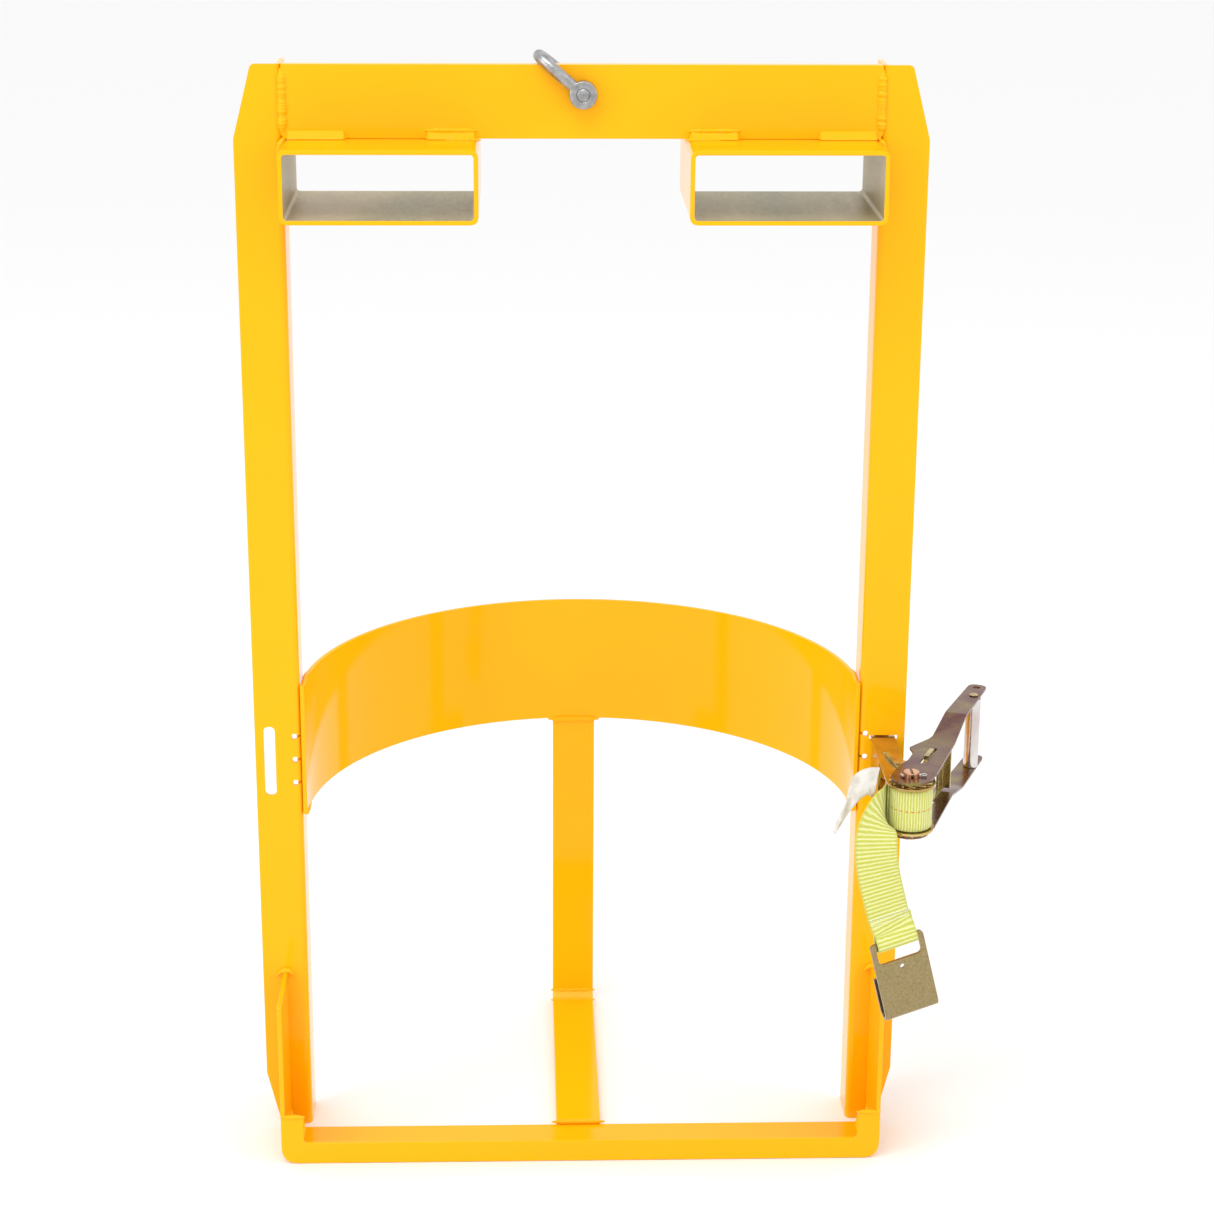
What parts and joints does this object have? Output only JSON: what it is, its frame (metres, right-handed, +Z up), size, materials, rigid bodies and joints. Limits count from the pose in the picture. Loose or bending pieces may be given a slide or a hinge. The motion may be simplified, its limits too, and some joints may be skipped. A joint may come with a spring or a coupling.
{
  "type": "drum lifting frame",
  "caption": "Welded steel frame that lifts a drum from fork pockets or a top shackle, with a curved cradle band, a low base lip and a ratchet strap with a flat hook.",
  "frame": {"origin": "on the floor, under the middle of the floor bar's front end; X is 0 on the frame's centre line and Y is 0 in the plane of the uprights' front flanges", "axes": "+Z up, +X to the ratchet's side, +Y from the fork side to the cradle band"},
  "size_m": [0.8331, 0.496, 1.2335],
  "materials": {
    "frame_paint": "glossy safety yellow enamel over welded steel",
    "galvanised_steel": "hot-dip galvanised forging, dull grey with soft highlights",
    "zinc_passivate": "yellow zinc passivate with brown, green and pink bloom",
    "grip_zinc": "bright zinc-plated tube",
    "webbing": "lime polyester webbing with cross ribs",
    "label_cloth": "coated cloth tag, blank"
  },
  "bodies": {
    "frame": {"left_upright": "frame_paint", "right_upright": "frame_paint", "top_beam": "frame_paint", "left_fork_pocket": "frame_paint", "right_fork_pocket": "frame_paint", "cradle_band": "frame_paint", "back_post": "frame_paint", "floor_bar": "frame_paint", "base_angle": "frame_paint", "left_riser": "frame_paint", "right_riser": "frame_paint", "ratchet_frame": "zinc_passivate", "anchor_bolt": "zinc_passivate", "anchor_nut": "zinc_passivate", "strap_tail": "webbing", "strap_label": "label_cloth"},
    "shackle": {"shackle_bow": "galvanised_steel", "shackle_pin": "galvanised_steel"},
    "spool": {"spool_half_left": "zinc_passivate", "spool_half_right": "zinc_passivate", "split_pin_top": "zinc_passivate", "split_pin_bottom": "zinc_passivate", "ratchet_wheel_top": "zinc_passivate", "ratchet_wheel_bottom": "zinc_passivate", "strap_roll": "webbing"},
    "handle": {"handle_arm_top": "zinc_passivate", "handle_arm_bottom": "zinc_passivate", "grip_tube": "grip_zinc", "grip_rivet": "zinc_passivate"},
    "drive_pawl": {"drive_pawl": "zinc_passivate"},
    "lock_pawl": {"lock_pawl": "zinc_passivate"},
    "flat_hook": {"flat_hook": "zinc_passivate"}
  },
  "joints": [
    {"name": "shackle_swing", "type": "hinge", "parent": "frame", "child": "shackle", "pos_m": [0, 0.00635, 1.1896], "axis": [0, 1, 0], "range_deg": [0, 100]},
    {"name": "spool_spin", "type": "hinge", "parent": "frame", "child": "spool", "pos_m": [0.351, -0.134, 0.451], "axis": [0, 0, -1], "continuous": true},
    {"name": "handle_swing", "type": "hinge", "parent": "frame", "child": "handle", "pos_m": [0.351, -0.134, 0.451], "axis": [0, 0, -1], "range_deg": [0, 126]},
    {"name": "drive_pawl_slide", "type": "slide", "parent": "handle", "child": "drive_pawl", "axis": [0.4067, 0.9135, 0], "range_m": [0, 0.009], "stiffness_N_per_m": 800},
    {"name": "lock_pawl_slide", "type": "slide", "parent": "frame", "child": "lock_pawl", "axis": [-0.2079, 0.9781, 0], "range_m": [0, 0.008], "stiffness_N_per_m": 800},
    {"name": "hook_swing", "type": "hinge", "parent": "frame", "child": "flat_hook", "pos_m": [0.3373, -0.169, 0.3065], "axis": [0.9491, 0.2079, 0.2366], "range_deg": [-30, 30]}
  ]
}
